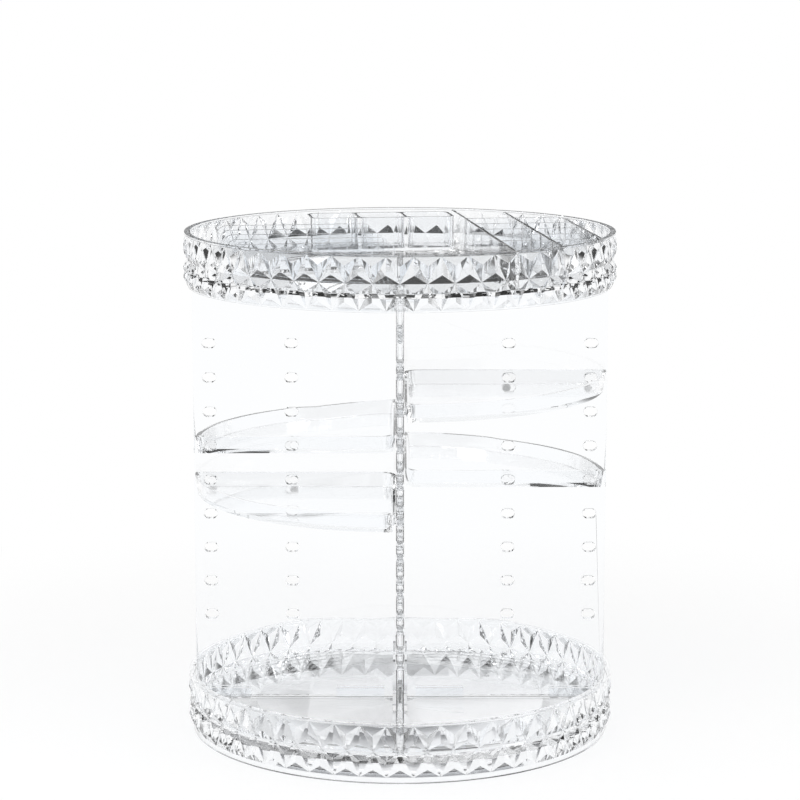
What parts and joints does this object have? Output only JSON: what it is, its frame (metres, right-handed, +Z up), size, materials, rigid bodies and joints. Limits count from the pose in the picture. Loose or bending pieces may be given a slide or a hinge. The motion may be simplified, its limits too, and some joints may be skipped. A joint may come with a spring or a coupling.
{
  "type": "rotating countertop organizer",
  "caption": "Round clear organizer on a turntable: faceted top and bottom trays, slotted divider panels in a cross, movable quarter-round shelves and lift-out racks.",
  "frame": {"origin": "on the turning axis, where the feet meet the table", "axes": "+Z up along the turning axis; -Y towards the front, where one divider panel faces the viewer"},
  "size_m": [0.23, 0.23, 0.2714],
  "materials": {
    "clear_acrylic": "polished clear moulded acrylic",
    "base_plastic": "pale milky moulded plastic",
    "foot_rubber": "translucent grey soft rubber, matte",
    "bearing_steel": "bright pressed steel",
    "cage_plastic": "white slippery plastic, matte",
    "pin_steel": "nickel-plated steel"
  },
  "bodies": {
    "base": {"base_plate": "base_plastic", "rubber_feet": "foot_rubber", "lower_race": "bearing_steel", "pivot_pin": "pin_steel", "thrust_washer": "cage_plastic", "retaining_clip": "pin_steel"},
    "cage": {"ball_cage": "cage_plastic", "bearing_balls": "bearing_steel"},
    "carousel": {"bottom_tray": "clear_acrylic", "turntable_plate": "base_plastic", "upper_race": "bearing_steel", "plate_screws": "pin_steel", "panel_front": "clear_acrylic", "panel_right": "clear_acrylic", "panel_rear": "clear_acrylic", "panel_left": "clear_acrylic"},
    "shelf_front_right": {"shelf_front_right": "clear_acrylic"},
    "shelf_rear_right": {"shelf_rear_right": "clear_acrylic"},
    "shelf_rear_left": {"shelf_rear_left": "clear_acrylic"},
    "shelf_front_left": {"shelf_front_left": "clear_acrylic"},
    "top_tray": {"top_tray": "clear_acrylic"},
    "lipstick_rack": {"lipstick_rack": "clear_acrylic"},
    "brush_holder": {"brush_holder": "clear_acrylic"},
    "compact_rack": {"compact_rack": "clear_acrylic"}
  },
  "joints": [
    {"name": "turntable_spin", "type": "hinge", "parent": "base", "child": "carousel", "pos_m": [0, 0, 0], "axis": [0, 0, 1], "continuous": true},
    {"name": "cage_spin", "type": "hinge", "parent": "base", "child": "cage", "pos_m": [0, 0, 0], "axis": [0, 0, 1], "continuous": true},
    {"name": "shelf_front_right_slide", "type": "slide", "parent": "carousel", "child": "shelf_front_right", "axis": [0.7071, -0.7071, 0], "range_m": [0, 0.12]},
    {"name": "shelf_rear_right_slide", "type": "slide", "parent": "carousel", "child": "shelf_rear_right", "axis": [0.7071, 0.7071, 0], "range_m": [0, 0.12]},
    {"name": "shelf_rear_left_slide", "type": "slide", "parent": "carousel", "child": "shelf_rear_left", "axis": [-0.7071, 0.7071, 0], "range_m": [0, 0.12]},
    {"name": "shelf_front_left_slide", "type": "slide", "parent": "carousel", "child": "shelf_front_left", "axis": [-0.7071, -0.7071, 0], "range_m": [0, 0.12]},
    {"name": "top_tray_lift", "type": "slide", "parent": "carousel", "child": "top_tray", "axis": [0, 0, 1], "range_m": [0, 0.03]},
    {"name": "lipstick_rack_lift", "type": "slide", "parent": "top_tray", "child": "lipstick_rack", "axis": [0, 0, 1], "range_m": [0, 0.04]},
    {"name": "brush_holder_lift", "type": "slide", "parent": "top_tray", "child": "brush_holder", "axis": [0, 0, 1], "range_m": [0, 0.04]},
    {"name": "compact_rack_lift", "type": "slide", "parent": "top_tray", "child": "compact_rack", "axis": [0, 0, 1], "range_m": [0, 0.04]}
  ],
  "couplings": [
    {"joint": "cage_spin", "follows": "turntable_spin", "ratio": 0.5}
  ]
}
